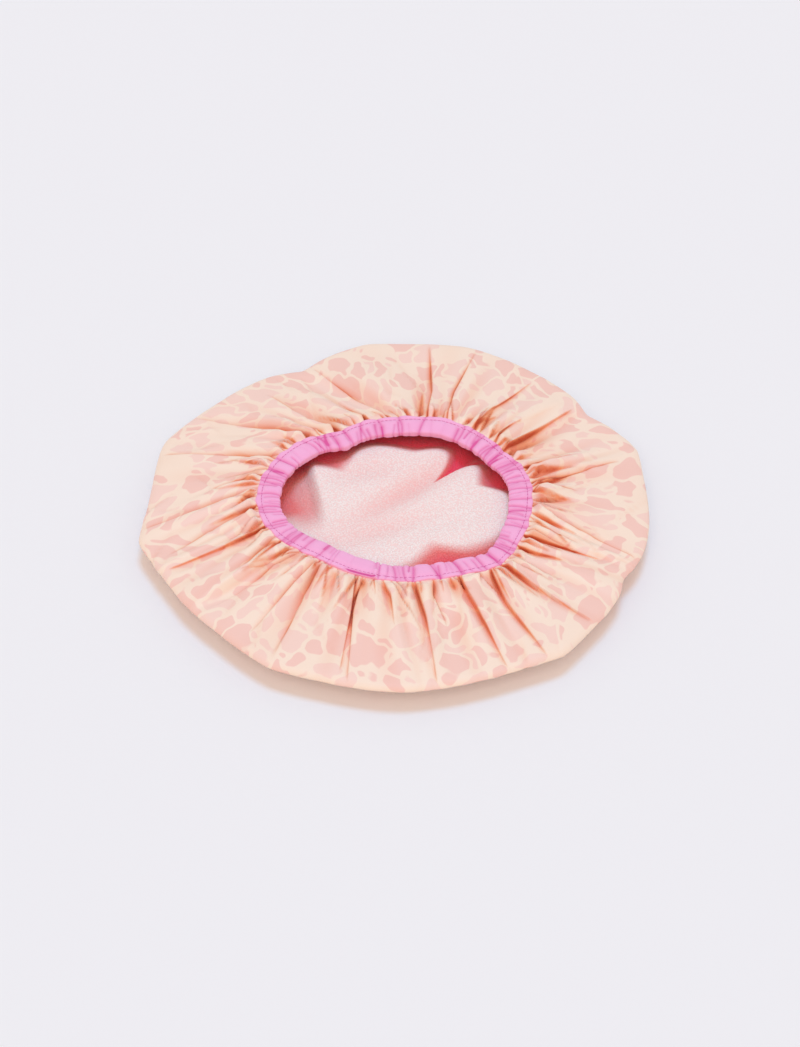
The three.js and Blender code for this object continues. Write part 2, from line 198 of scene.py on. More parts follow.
CRINKLE_HEIGHT = (0.3, 0.8)
CRINKLE_WIDTH = 5.0
CRINKLE_START = (4, 14)
CRINKLE_END = (66, 76)
CRINKLE_SHADE = 0.3
CRINKLE_SHADE_WIDTH = 1.5

pleat_draw = np.random.default_rng(FOLD_SEED)
pleat_turns = np.linspace(-180, 180, PLEATS, endpoint=False)
pleat_turns = pleat_turns + pleat_draw.uniform(-PLEAT_STRAY, PLEAT_STRAY, PLEATS)


def ease(low, high, value):
    """Runs smoothly from 0 at the low value to 1 at the high one."""
    share = np.clip((value - low) / (high - low), 0, 1)
    return share * share * (3 - 2 * share)


def short_way(aside, whole=2 * math.pi):
    """The same way aside, but the short way round a closed line or a full turn."""
    return (aside + whole / 2) % whole - whole / 2


def corners(turn, places):
    """Corners and notches round a closed line: turn, how far it stands out and half breadth of each."""
    total = 0
    for at, out, breadth in places:
        aside = np.abs(np.degrees(short_way(turn - math.radians(at))) / breadth)
        total = total + out * np.exp(-(aside**CORNER_POWER))
    return total


def rim_line(turn):
    """The outer edge of the binding in plan, and the direction that is outward there."""
    ray = np.stack([np.cos(turn), np.sin(turn)], -1)
    outward = ray / RIM_HALF
    outward /= np.linalg.norm(outward, axis=1, keepdims=True)
    return RIM_MIDDLE + ray * RIM_HALF + corners(turn, RIM_CORNERS)[:, None] * outward, outward


def column_turns():
    """Turns of the cloth's columns at the rim and at the outer fold, so that they run along the folds."""
    fine = np.linspace(-math.pi, math.pi, FINE_TURNS)
    closeness = 1 + corners(fine, [(fold[0], *CLOSE_AT_FOLD) for fold in LONG_FOLDS])
    closeness = closeness + corners(fine, [(at, *CLOSE_AT_PLEAT) for at in pleat_turns])
    way = np.cumsum(closeness)
    rim_turn = np.interp((np.arange(COLUMNS) + 0.5) / COLUMNS * way[-1], way, fine)
    rim_end, fold_end = np.radians([fold[:2] for fold in LONG_FOLDS]).T
    return rim_turn, rim_turn + np.interp(rim_turn, rim_end, fold_end - rim_end, period=2 * math.pi)


def smooth_shell():
    """The cap without gathers: points by row from the ground up, and how far each is from the rim."""
    rim_turn, turn = column_turns()
    ray = np.stack([np.cos(turn), np.sin(turn)], -1)
    fold = FOLD_MIDDLE + (CAP_RADIUS + corners(turn, OUTLINE_CORNERS))[:, None] * ray
    rim, outward = rim_line(rim_turn)
    rim = rim + RIM_CLEARANCE * outward
    inward = rim - fold
    span = np.linalg.norm(inward, axis=1, keepdims=True)
    inward /= span
    slope = (SHELL_AT_RIM - FOLD_HEIGHT - EDGE_RISE) / span
    rows = []
    for share in np.linspace(0, 1, GROUND_ROWS, endpoint=False):
        rows.append((fold - ray * (OVERHANG + GROUND_STRIP * (1 - share)), np.zeros((COLUMNS, 1))))
    for share in np.linspace(0, 1, BELLY_ROWS, endpoint=False):
        level = np.full((COLUMNS, 1), FOLD_HEIGHT * share**BELLY_BEND)
        rows.append((fold - ray * OVERHANG * (1 - share), level))
    for arc in np.radians(np.linspace(0, 90, EDGE_ROWS, endpoint=False)):
        way_in = EDGE_ROUND * (1 - math.cos(arc))
        rows.append((fold + inward * way_in, FOLD_HEIGHT + EDGE_RISE * math.sin(arc) + slope * way_in))
    for share in 1 - np.linspace(1, 0, SKIRT_ROWS, endpoint=False) ** ROW_CROWDING:
        way_in = EDGE_ROUND + (span - EDGE_ROUND) * share
        rows.append((fold + inward * way_in, FOLD_HEIGHT + EDGE_RISE + slope * way_in))
    for share in np.linspace(0, 1, SEWN_ROWS):
        level = np.full((COLUMNS, 1), SHELL_AT_RIM - SEWN_DIP * share)
        rows.append((rim - SEWN_IN * share * outward, level))
    points = np.array([np.concatenate([plan, level], 1) for plan, level in rows])
    steps = np.linalg.norm(np.diff(points, axis=0), axis=2)
    from_rim = np.concatenate([np.cumsum(steps[::-1], 0)[::-1], np.zeros((1, COLUMNS))]) - SEWN_IN
    return rim_turn, turn, points, from_rim


def facing(points):
    """Outward direction of the cloth at each point of a ring grid."""
    up = np.gradient(points, axis=0)
    along = np.roll(points, -1, 1) - np.roll(points, 1, 1)
    out = np.cross(along, up)
    return out / (np.linalg.norm(out, axis=2, keepdims=True) + 1e-9)


def fold_shade_at(turn, back, less_in_front):
    """How strong a fold's painted shade is at its turn round the cap."""
    return back - less_in_front * max(0, -math.sin(turn))


def gathers(rim_turn, points, from_rim):
    """How far folds lift each point off the smooth cap, shift it along the rim, and how much painted shade
    darkens it.
    """
    steps = np.linalg.norm(np.roll(points, -1, 1) - points, axis=2)
    run = np.cumsum(steps, 1) - steps
    whole = steps.sum(1, keepdims=True)
    lift = np.zeros(from_rim.shape)
    shift = np.zeros(from_rim.shape)
    painted_shade = np.zeros(from_rim.shape)
    draw = np.random.default_rng(FOLD_SEED)

    def column_at(turn):
        return int(np.argmin(np.abs(short_way(rim_turn - turn))))

    def lay(column, length, high, side, wide, bow, slant, tint):
        """Lays one fold, with its crest leaning over the valley on one side, and paints shade into the
        valley and along the overlap.
        """
        share = np.clip(from_rim / length, 0, 1)
        bowed = bow * np.interp(share, (0, BOW_AT, 1), (0, 1, 0))
        aside = run - run[:, column, None] - bowed - slant * np.maximum(from_rim, 0)
        aside = side * short_way(aside, whole)
        fade = TAIL_HEIGHT * (1 - ease(TAIL_END, 1, share))
        fade = fade + (1 - TAIL_HEIGHT) * (1 - ease(*FADE, share))
        rise = high * fade * ease(0, CREST_START, from_rim)
        fade = fade * ease(-VALLEY_START, VALLEY_START, from_rim)
        sink = high * fade
        width = wide * (VALLEY_ENDS + (1 - VALLEY_ENDS) * np.sin(math.pi * share**VALLEY_SKEW))
        crest = ease(-CREST_STEP, CREST_STEP, aside)
        valley = (1 - crest) * np.clip(1 + aside / width, 0, 1)
        back = np.clip(1 - aside / (CREST_BACK * wide), 0, 1)
        lift[:] += rise * crest * back - VALLEY_DEPTH * sink * valley
        lean = np.exp(-np.maximum(aside, 0) / (OVERLAP_REACH * wide))
        shift[:] -= side * OVERLAP * rise * crest * lean
        in_valley = np.minimum(aside, 0) / (LINE_WIDTH + LINE_GAIN * sink)
        line = np.exp(in_valley - np.maximum(aside, 0) / LINE_ON_CREST)
        patchy = 1 - PATCHES + PATCHES * np.sin(PATCH_TURN * share + column)
        # painted shade: soft in the valley, darker along the line where the crest overlaps it
        dark = VALLEY_SHADE * fade * valley + LINE_SHADE * ease(*LINE_FADE, fade) * line
        painted_shade[:] += tint * patchy * dark

    skirt_start = int(np.argmax(points[:, 0, 2] >= FOLD_HEIGHT - 0.01))
    for at, _, crossing, high, side, wide in LONG_FOLDS:
        at = math.radians(at)
        column = column_at(at)
        length = crossing * from_rim[skirt_start, column]
        bow = draw.uniform(-FOLD_BOW, FOLD_BOW)
        lay(column, length, high, side, wide, bow, 0, fold_shade_at(at, *FOLD_SHADE))
    for at in np.radians(pleat_turns):
        shortest, longest = PLEAT_LENGTH
        length = shortest + (longest - shortest) * draw.uniform(0, 1) ** 2
        high = draw.uniform(*PLEAT_HEIGHT)
        side = draw.choice((-1, 1))
        wide = draw.uniform(*PLEAT_WIDTH)
        slant = draw.uniform(-PLEAT_SLANT, PLEAT_SLANT)
        lay(column_at(at), length, high, side, wide, 0, slant, fold_shade_at(at, *PLEAT_SHADE))

    near = ease(0, RUFFLE_START, from_rim) * np.exp(-np.maximum(from_rim, 0) / RUFFLE_REACH)
    ruffle = np.zeros(from_rim.shape)
    for waves in draw.integers(*RUFFLE_WAVES, RUFFLES):
        lean = draw.uniform(-RUFFLE_LEAN, RUFFLE_LEAN) * from_rim / RUFFLE_LENGTH
        high = draw.uniform(*RUFFLE_HEIGHT)
        ruffle += high * np.cos(waves * rim_turn[None] + lean + draw.uniform(0, 2 * math.pi))
    lift += near * ruffle
    # painted shade in the ruffles' hollows
    painted_shade += RUFFLE_SHADE * near * np.maximum(-ruffle, 0)

    skirt = np.clip(from_rim / PANEL_LENGTH, 0, 1)
    bulge = 4 * skirt * (1 - skirt)
    for waves in PANEL_WAVES:
        lean = draw.uniform(-PANEL_LEAN, PANEL_LEAN) * skirt
        swell = np.cos(waves * rim_turn[None] + lean + draw.uniform(0, 2 * math.pi))
        lift += draw.uniform(*PANEL_HEIGHT) * swell * bulge

    for _ in range(CRINKLES):
        column = draw.integers(COLUMNS)
        lie = math.radians(draw.uniform(-CRINKLE_LIE, CRINKLE_LIE))
        half_length = draw.uniform(*CRINKLE_HALF)
        out = from_rim - draw.uniform(*CRINKLE_PLACE)
        aside = short_way(run - run[:, column, None], whole)
        along = (out * math.cos(lie) + aside * math.sin(lie)) / half_length
        across = aside * math.cos(lie) - out * math.sin(lie)
        bent = draw.uniform(*CRINKLE_HEIGHT) * np.exp(-(along**2)) * np.tanh(across)
        bent = bent * np.exp(-np.abs(across) / CRINKLE_WIDTH)
        bent = bent * ease(*CRINKLE_START, from_rim) * (1 - ease(*CRINKLE_END, from_rim))
        lift += bent
        # painted shade along the low side of each crinkle
        painted_shade += CRINKLE_SHADE * np.maximum(-bent, 0) * np.exp(-np.abs(across) / CRINKLE_SHADE_WIDTH)
    return np.clip(lift, *LIFT_LIMITS), shift, np.minimum(painted_shade, 1)


def gathered_shell():
    """The skirt's cloth in its folds."""
    rim_turn, turn, smooth, from_rim = smooth_shell()
    outward = facing(smooth)
    along = np.roll(smooth, -1, 1) - np.roll(smooth, 1, 1)
    along /= np.linalg.norm(along, axis=2, keepdims=True)
    lift, shift, painted_shade = gathers(rim_turn, smooth, from_rim)
    cloth = smooth + outward * lift[..., None] + along * shift[..., None]
    cloth[..., 2] = np.maximum(cloth[..., 2], 0)
    return turn, smooth, cloth, from_rim, lift, painted_shade


def grid_faces(rows, columns, start=0):
    """Quads between neighbouring rings of points."""
    row, column = np.meshgrid(np.arange(rows - 1), np.arange(columns), indexing="ij")
    after = (column + 1) % columns
    here = row * columns
    above = here + columns
    return np.stack([here + column, here + after, above + after, above + column], -1).reshape(-1, 4) + start


def band_faces(ring, other_ring, columns):
    """Quads between two rings, each given by the number of its first point."""
    around = np.arange(columns)
    after = (around + 1) % columns
    return np.stack([ring + around, ring + after, other_ring + after, other_ring + around], -1)


def fan_faces(ring, middle, columns):
    """Triangles between a ring and its middle point."""
    around = np.arange(columns)
    after = (around + 1) % columns
    return np.stack([ring + around, ring + after, np.full(columns, middle)], -1)


def make_piece(name, points, faces, material):
    """A mesh piece at the origin, from points in millimetres."""
    mesh = bpy.data.meshes.new(name)
    mesh.from_pydata((np.asarray(points) * MM).tolist(), [], faces)
    mesh.validate()
    mesh.shade_smooth()
    mesh.materials.append(material)
    piece = bpy.data.objects.new(name, mesh)
    scene.collection.objects.link(piece)
    return piece


def start_material(name, roughness, sheen):
    """A new node material: its shader, and a way to add nodes with their settings and inputs."""
    material = bpy.data.materials.new(name)
    material.use_nodes = True
    tree = material.node_tree
    shader = tree.nodes["Principled BSDF"]
    shader.inputs["Roughness"].default_value = roughness
    shader.inputs["Sheen Weight"].default_value = sheen

    def add(kind, inputs, **settings):
        node = tree.nodes.new("ShaderNode" + kind)
        for key, value in settings.items():
            setattr(node, key, value)
        for key, value in inputs.items():
            feed(node.inputs[key], value)
        return node

    def feed(socket, value):
        if isinstance(value, bpy.types.NodeSocket):
            tree.links.new(value, socket)
        else:
            socket.default_value = value

    return material, shader, add, feed


def colour(red, green, blue):
    """A colour as seen on screen, from 0 to 255, made linear for the shader."""
    return (*(((part / 255 + 0.055) / 1.055) ** 2.4 for part in (red, green, blue)), 1)


def multiply_painted_shade(add, base, value_name, stops):
    """A colour multiplied by painted shade tints that follow a value kept on the piece's points."""
    value = add("Attribute", {}, attribute_name=value_name).outputs["Fac"]
    ramp = add("ValToRGB", {"Fac": value})
    elements = ramp.color_ramp.elements
    for _ in range(len(stops) - len(elements)):
        elements.new(1)
    for element, (at, tone) in zip(elements, stops):
        element.position = at
        element.color = tone
    inputs = {"Fac": 1.0, "Color1": base, "Color2": ramp.outputs[0]}
    return add("MixRGB", inputs, blend_type="MULTIPLY").outputs[0]


def plain_weave(add, place, scale, waver, strength, depth):
    """The raised threads of a plain weave, as a bumped normal."""
    inputs = {"Vector": place, "Scale": scale, "Distortion": waver}
    warp, weft = [add("TexWave", inputs, bands_direction=way).outputs["Fac"] for way in ("X", "Y")]
    weave = add("Math", {0: warp, 1: weft}, operation="MULTIPLY").outputs[0]
    return add("Bump", {"Height": weave, "Strength": strength, "Distance": depth}).outputs[0]


def set_point_values(piece, name, values):
    """Keeps one value or one vector for each point of a piece, for its material."""
    values = np.asarray(values, np.float32)
    kind, field = ("FLOAT", "value") if values.ndim == 1 else ("FLOAT_VECTOR", "vector")
    piece.data.attributes.new(name, kind, "POINT").data.foreach_set(field, values.ravel())


UNSHADED = colour(255, 255, 255)
CREAM = colour(253, 230, 212)
SPOT = colour(251, 216, 204)
DARK_SPOT = colour(249, 206, 194)
# Painted shade of the folds: orange in the valleys, dark brown-red along the overlap lines
FOLD_SHADE_TONE = colour(246, 175, 139)
CREASE_SHADE_TONE = colour(206, 100, 61)
FLAT_MIDDLE = 150.0  # the print lies flat up to here and is wrapped round the skirt beyond it
CROWN_RINGS = (0.2, 0.6)  # rings of the resting crown, as shares of the way out from its middle
NORMAL_ROUNDS = 2
# Print: cells of a warped pattern, each with a rounded blotch that keeps clear of its neighbours
PRINT_SCALE = 58.0
WARP_SCALE = 60.0
WARP_SIZE = 0.026
BLOTCH_SIZE = 0.6
BLOTCH_GAP = 0.13
BLOTCH_ROUNDING = 0.26
BLOTCH_EDGE = (-0.07, -0.03)
PALE_SHARE = 0.55

shell_turn, shell_smooth, shell_grid, shell_from_rim, shell_lift, shell_painted_shade = gathered_shell()
shell_out = facing(shell_grid)
for _ in range(NORMAL_ROUNDS):
    shell_out += np.roll(shell_out, 1, 1) + np.roll(shell_out, -1, 1)
    shell_out /= np.linalg.norm(shell_out, axis=2, keepdims=True)


def closed_shell(outer, inner):
    """The shell as one closed body: both faces from the middle of the crown to the sewn edge."""
    columns = outer.shape[1]
    points = []
    faces = []
    start = 0
    for inside, grid in enumerate((outer, inner)):
        height = grid[0, :, 2].mean()
        flat = grid[0, :, :2] - FOLD_MIDDLE
        level = np.full(columns, height)
        rings = [np.column_stack([FOLD_MIDDLE + flat * share, level]) for share in CROWN_RINGS]
        full = np.concatenate([rings, grid])
        points += [full.reshape(-1, 3), [[*FOLD_MIDDLE, height]]]
        count = len(full) * columns
        quads = grid_faces(len(full), columns, start)
        fan = fan_faces(start, start + count, columns)
        faces += (quads[:, ::-1] if inside else quads).tolist()
        faces += (fan if inside else fan[:, ::-1]).tolist()
        start += count + 1
    last = count - columns
    faces += band_faces(last, last + start // 2, columns).tolist()
    return np.concatenate(points), faces


def print_places(grid, turn, from_rim):
    """Where each point of one face of the shell lies on the flat print, in metres."""
    begin = np.linalg.norm(grid[0, :, :2] - FOLD_MIDDLE, axis=1)
    out = begin[None] + from_rim[:1] - from_rim
    out = np.concatenate([begin[None] * np.array(CROWN_RINGS)[:, None], out])
    flat = np.minimum(out, FLAT_MIDDLE)
    place = np.stack([flat * np.cos(turn), flat * np.sin(turn), np.maximum(out - FLAT_MIDDLE, 0)], -1)
    return np.concatenate([place.reshape(-1, 3), np.zeros((1, 3))]) * MM


shell_material, shader, add, feed = start_material("printed_polyester", roughness=0.55, sheen=0.1)
place = add("Attribute", {}, attribute_name="flat_place").outputs["Vector"]
warp = add("TexNoise", {"Vector": place, "Scale": WARP_SCALE, "Detail": 1.0}).outputs["Color"]
moved = add("VectorMath", {0: warp, 1: (0.5, 0.5, 0.5)}, operation="SUBTRACT").outputs[0]
moved = add("VectorMath", {0: moved, 1: (WARP_SIZE,) * 3, 2: place}, operation="MULTIPLY_ADD").outputs[0]
cell = {"Vector": moved, "Scale": PRINT_SCALE, "Randomness": 1.0}
spots = add("TexVoronoi", cell)
gaps = add("TexVoronoi", cell, feature="DISTANCE_TO_EDGE").outputs["Distance"]
round_part = add("Math", {0: BLOTCH_SIZE, 1: spots.outputs["Distance"]}, operation="SUBTRACT").outputs[0]
clear_part = add("Math", {0: gaps, 1: BLOTCH_GAP}, operation="SUBTRACT").outputs[0]
both = add("Math", {0: round_part, 1: clear_part, 2: BLOTCH_ROUNDING}, operation="SMOOTH_MIN").outputs[0]
inside = add("MapRange", {"Value": both, "From Min": BLOTCH_EDGE[0], "From Max": BLOTCH_EDGE[1]}).outputs[0]
chance = add("SeparateColor", {"Color": spots.outputs["Color"]}).outputs["Red"]
darker = add("Math", {0: chance, 1: PALE_SHARE}, operation="GREATER_THAN").outputs[0]
spot = add("MixRGB", {"Fac": darker, "Color1": SPOT, "Color2": DARK_SPOT}).outputs[0]
print_and_shade = add("MixRGB", {"Fac": inside, "Color1": CREAM, "Color2": spot}).outputs[0]
# the print darkened by the painted shade of the folds
print_and_shade = multiply_painted_shade(add, print_and_shade, "fold_shade", ((0, UNSHADED), (0.5, FOLD_SHADE_TONE), (1, CREASE_SHADE_TONE)))
feed(shader.inputs["Base Color"], print_and_shade)
shell_weave = plain_weave(add, place, scale=520.0, waver=0.6, strength=0.25, depth=0.00005)
feed(shader.inputs["Normal"], shell_weave)
shell_points, shell_faces = closed_shell(shell_grid, shell_grid - SHELL_THICKNESS * shell_out)
outer_shell = make_piece("printed_shell", shell_points, shell_faces, shell_material)
one_face = print_places(shell_grid, shell_turn, shell_from_rim)
set_point_values(outer_shell, "flat_place", np.tile(one_face, (2, 1)))
# painted shade of the folds, none on the crown's rings and middle
one_face = np.concatenate([np.zeros(len(CROWN_RINGS) * COLUMNS), shell_painted_shade.ravel(), [0]])
set_point_values(outer_shell, "fold_shade", np.tile(one_face, 2))
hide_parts("outer_shell")
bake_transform(outer_shell)

# Terry lining: one circle of looped microfibre terry, gathered and sewn in with the shell. Its wall
# follows the shell's folds from within, and its middle, the pad below, lies in soft swells on the crown.
TERRY_GAP = 0.6
TERRY_THICKNESS = 1.9
TERRY_PLEATS = 44
TERRY_PLEAT_DEPTH = 4.5
TERRY_PLEAT_START = (-2, 14)
TERRY_PLEAT_END = (60, 88)
PLEAT_WAVER = 1.2  # radians by which the pleats stray, so many times round
PLEAT_WAVERS = 5
UNDER_REACH = 9  # columns to either side, of which the wall stays under the lowest
UNDER_ROUNDS = 12
WALL_STEP = 2  # the wall has every second row and column of the shell
MOUTH_HALF = np.array((66.4, 55.4))
LINING_LOW = 2.9
PLATEAU_HEIGHT = 13.5
# Edge of the raised lining and breadth of its fall beyond it, as shares of the mouth, with their corners
PLATEAU_EDGE = 1.3
PLATEAU_CORNERS = (
    (-60, -0.68, 38), (27, -0.36, 17), (54, -0.5, 5), (80, -0.37, 30), (128, -0.38, 14), (173, -0.42, 24),
)
PLATEAU_BRIM = 0.08
FALL_BREADTH = 0.16
FALL_CORNERS = ((-60, 0.14, 40), (129, 0.12, 12), (173, 0.42, 26))
FIRST_FALL = 0.45  # share of the height that is lost at the edge, with the rest lost up to the end
FALL_END = 1.75
# Swells of the raised lining: place from the rim's middle, half length, half width, turn in degrees, height
SWELLS = (
    (8, 19, 44, 9, 41, -4.0),
    (-10, -18, 32, 8, 24, -2.2),
    (-50, 30, 18, 9, 75, 1.5),
    (30, -26, 30, 9, 25, 1.6),
    (-18, 34, 26, 10, 15, -1.6),
    (-56, 8, 26, 9, 101, -3.0),
)
# Ridge at the left, where the lining folds over itself and falls away to the outside
RIDGE_TOP = np.array((-48, 33))
RIDGE_FOOT = np.array((-38, -20))
RIDGE_DROP = 6.0
RIDGE_FLANK = 7.0
RIDGE_BRIM = 0.5
RIDGE_GROWS = 0.6  # share of its length over which it rises from its foot
PAD_RADIUS = 108.0
PAD_ROWS = 150
PAD_TURNS = 330
PAD_HOLE = 0.012  # innermost row, as a share of the radius
PAD_SPREAD = 0.8  # below 1, the rows stand closer to each other towards the outside
PAD_THICKNESS = 1.4
TERRY = colour(255, 246, 243)
TERRY_DEEP = colour(253, 222, 219)
# Painted shade of the lining: dusky pink, then crimson, where it falls away, in its hollows and faintly on
# its wall
TERRY_DUSK = colour(250, 144, 144)
TERRY_SHADE = colour(255, 84, 116)
DUSK_AT = 0.45
SHADE_POWER = 0.8
HOLLOW_SHADE = 0.04  # for each millimetre of depth
WALL_SHADE = 0.1
LOOP_SCALE = 1000.0
TUFT_SCALE = 850.0
PILE_RANGE = (-0.26, 0.3)
PILE_HEIGHT = 0.0006

under = np.min([np.roll(shell_lift, step, 1) for step in range(-UNDER_REACH, UNDER_REACH + 1)], axis=0)
for _ in range(UNDER_ROUNDS):
    under = (np.roll(under, 1, 1) + 2 * under + np.roll(under, -1, 1)) / 4
wall_out = facing(shell_smooth)
pleat_phase = TERRY_PLEATS * shell_turn + PLEAT_WAVER * np.sin(PLEAT_WAVERS * shell_turn)
hang = ease(*TERRY_PLEAT_START, shell_from_rim) * (1 - ease(*TERRY_PLEAT_END, shell_from_rim))
hang = hang * (1 - np.cos(pleat_phase)[None]) / 2
wall_lift = np.minimum(under, shell_lift) - TERRY_GAP - TERRY_PLEAT_DEPTH * hang
wall_top = (shell_smooth + wall_out * wall_lift[..., None])[::WALL_STEP, ::WALL_STEP]
wall_inside = wall_top - TERRY_THICKNESS * wall_out[::WALL_STEP, ::WALL_STEP]


def wall_cloth(outer, inner):
    """The gathered wall as a closed body: two faces joined along both edges."""
    rows, columns = outer.shape[:2]
    count = rows * columns
    last = count - columns
    faces = grid_faces(rows, columns).tolist()
    faces += grid_faces(rows, columns, count)[:, ::-1].tolist()
    faces += band_faces(last, count + last, columns).tolist()
    faces += band_faces(count, 0, columns).tolist()
    return np.concatenate([outer.reshape(-1, 3), inner.reshape(-1, 3)]), faces


def lining_rise(x, y):
    """Height of the lining's upper face where it lies loose on the crown, and how much painted shade it
    gets.
    """
    x = x - RIM_MIDDLE[0]
    y = y - RIM_MIDDLE[1]
    turn = np.arctan2(y / MOUTH_HALF[1], x / MOUTH_HALF[0])
    share = np.hypot(x / MOUTH_HALF[0], y / MOUTH_HALF[1])
    share = share - corners(turn, RIM_CORNERS) / MOUTH_HALF.mean()
    relief = np.zeros(x.shape)
    for at_x, at_y, long, wide, lie, high in SWELLS:
        lie = math.radians(lie)
        along = ((x - at_x) * math.cos(lie) + (y - at_y) * math.sin(lie)) / long
        across = ((y - at_y) * math.cos(lie) - (x - at_x) * math.sin(lie)) / wide
        relief = relief + high * np.exp(-(along**2) - across**2)
    ridge_length = np.linalg.norm(RIDGE_TOP - RIDGE_FOOT)
    ridge_x, ridge_y = (RIDGE_TOP - RIDGE_FOOT) / ridge_length
    up_ridge = (x - RIDGE_FOOT[0]) * ridge_x + (y - RIDGE_FOOT[1]) * ridge_y
    off_ridge = (x - RIDGE_FOOT[0]) * ridge_y - (y - RIDGE_FOOT[1]) * ridge_x
    flank = (1 - ease(-RIDGE_FLANK, RIDGE_BRIM, off_ridge)) * ease(0, RIDGE_GROWS * ridge_length, up_ridge)
    relief = relief - RIDGE_DROP * flank
    edge = PLATEAU_EDGE + corners(turn, PLATEAU_CORNERS)
    edge_end = edge + FALL_BREADTH + corners(turn, FALL_CORNERS)
    drop = ease(edge - PLATEAU_BRIM, edge_end, share)
    sunk = FIRST_FALL * drop + (1 - FIRST_FALL) * ease(edge_end, FALL_END, share)
    height = LINING_LOW + (PLATEAU_HEIGHT + relief) * (1 - sunk)
    return height, np.clip(drop**SHADE_POWER + HOLLOW_SHADE * np.maximum(-relief, 0), 0, 1)


def pad_cloth(top, middle):
    """The loose round of lining as a closed body, from rings that run inwards."""
    rows, columns = top.shape[:2]
    count = rows * columns
    last = count - columns
    below = count + 1
    faces = grid_faces(rows, columns).tolist()
    faces += grid_faces(rows, columns, below)[:, ::-1].tolist()
    faces += fan_faces(last, count, columns).tolist()
    faces += fan_faces(below + last, below + count, columns)[:, ::-1].tolist()
    faces += band_faces(below, 0, columns).tolist()
    upper = np.concatenate([top.reshape(-1, 3), middle])
    return np.concatenate([upper, upper - (0, 0, PAD_THICKNESS)]), faces


pad_turn = np.arange(PAD_TURNS) * 2 * math.pi / PAD_TURNS
pad_way = np.linspace(PAD_HOLE, 1, PAD_ROWS)[::-1] ** PAD_SPREAD * PAD_RADIUS
pad_x = FOLD_MIDDLE[0] + pad_way[:, None] * np.cos(pad_turn)
pad_y = FOLD_MIDDLE[1] + pad_way[:, None] * np.sin(pad_turn)
pad_height, pad_shade = lining_rise(pad_x, pad_y)
pad_top = np.stack([pad_x, pad_y, pad_height], -1)
pad_middle = np.array([[*FOLD_MIDDLE, pad_height[-1].mean()]])

terry_material, shader, add, feed = start_material("looped_terry", roughness=1.0, sheen=0.35)
place = add("TexCoord", {}).outputs["Object"]
loops = {"Vector": place, "Scale": LOOP_SCALE, "Detail": 2.0, "Roughness": 0.6}
loops = add("TexNoise", loops).outputs["Fac"]
tufts = add("TexVoronoi", {"Vector": place, "Scale": TUFT_SCALE}).outputs["Distance"]
pile = add("Math", {0: loops, 1: tufts}, operation="SUBTRACT").outputs[0]
pile = add("MapRange", {"Value": pile, "From Min": PILE_RANGE[0], "From Max": PILE_RANGE[1]}).outputs[0]
terry_and_shade = add("MixRGB", {"Fac": pile, "Color1": TERRY_DEEP, "Color2": TERRY}).outputs[0]
# painted shade: dusky pink, then crimson, by the lining's in_shade value
terry_and_shade = multiply_painted_shade(add, terry_and_shade, "in_shade", ((0, UNSHADED), (DUSK_AT, TERRY_DUSK), (1, TERRY_SHADE)))
feed(shader.inputs["Base Color"], terry_and_shade)
bump = add("Bump", {"Height": pile, "Strength": 0.45, "Distance": PILE_HEIGHT}).outputs[0]
feed(shader.inputs["Normal"], bump)
terry_wall = make_piece("terry_wall", *wall_cloth(wall_top, wall_inside), terry_material)
set_point_values(terry_wall, "in_shade", np.full(len(terry_wall.data.vertices), WALL_SHADE))
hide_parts("terry_lining")
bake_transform(terry_wall)
terry_floor = make_piece("terry_floor", *pad_cloth(pad_top, pad_middle), terry_material)
set_point_values(terry_floor, "in_shade", np.tile(np.append(pad_shade.ravel(), 0), 2))
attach(terry_floor, "crown")

# Elastic: a flat braided elastic in the binding, its lapped ends joined by a zigzag. Both stay as the
# frame has them, with the finish of braided elastic and of spun thread.
ELASTIC = colour(245, 244, 241)
ELASTIC_SHADED = colour(228, 226, 222)
WHITE_THREAD = colour(246, 245, 242)
WHITE_THREAD_SHADED = colour(224, 222, 218)
RIB_SCALE = 300.0
STRAND_SCALE = 2500.0


def thread_finish(name, shaded, light):
    """Spun sewing thread, mottled by its fine strands."""
    material, shader, add, feed = start_material(name, roughness=0.6, sheen=0.2)
    place = add("TexCoord", {}).outputs["Object"]
    strands = add("TexNoise", {"Vector": place, "Scale": STRAND_SCALE}).outputs["Fac"]
    twisted = add("MixRGB", {"Fac": strands, "Color1": shaded, "Color2": light}).outputs[0]
    feed(shader.inputs["Base Color"], twisted)
    return material


elastic_material, shader, add, feed = start_material("braided_elastic", roughness=0.8, sheen=0.2)
place = add("TexCoord", {}).outputs["Object"]
ribs = {"Vector": place, "Scale": RIB_SCALE, "Distortion": 1.0}
ribs = add("TexWave", ribs, wave_type="RINGS", rings_direction="Z").outputs["Fac"]
ribbed = add("MixRGB", {"Fac": ribs, "Color1": ELASTIC_SHADED, "Color2": ELASTIC}).outputs[0]
feed(shader.inputs["Base Color"], ribbed)
white_thread = thread_finish("white_thread", WHITE_THREAD_SHADED, WHITE_THREAD)
for node, material in (("elastic_band", elastic_material), ("elastic_join_stitch", white_thread)):
    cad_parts[node].data.materials.clear()
    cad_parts[node].data.materials.append(material)

# Binding: one strip of pink woven tape, folded over the gathered edge and the elastic. The elastic
# draws it into ruches, and its ends lap at the front left, where the top end is turned under.
RIM_HEIGHT = 24.0
BINDING_WIDTH = 14.0
BINDING_DROP = 1.4  # how much lower the inner edge lies than the outer one
BINDING_TURNS = 1200
STITCH_LINE = 3.0
FLANGE_HALF = 1.85
GROOVE_HALF = 1.4
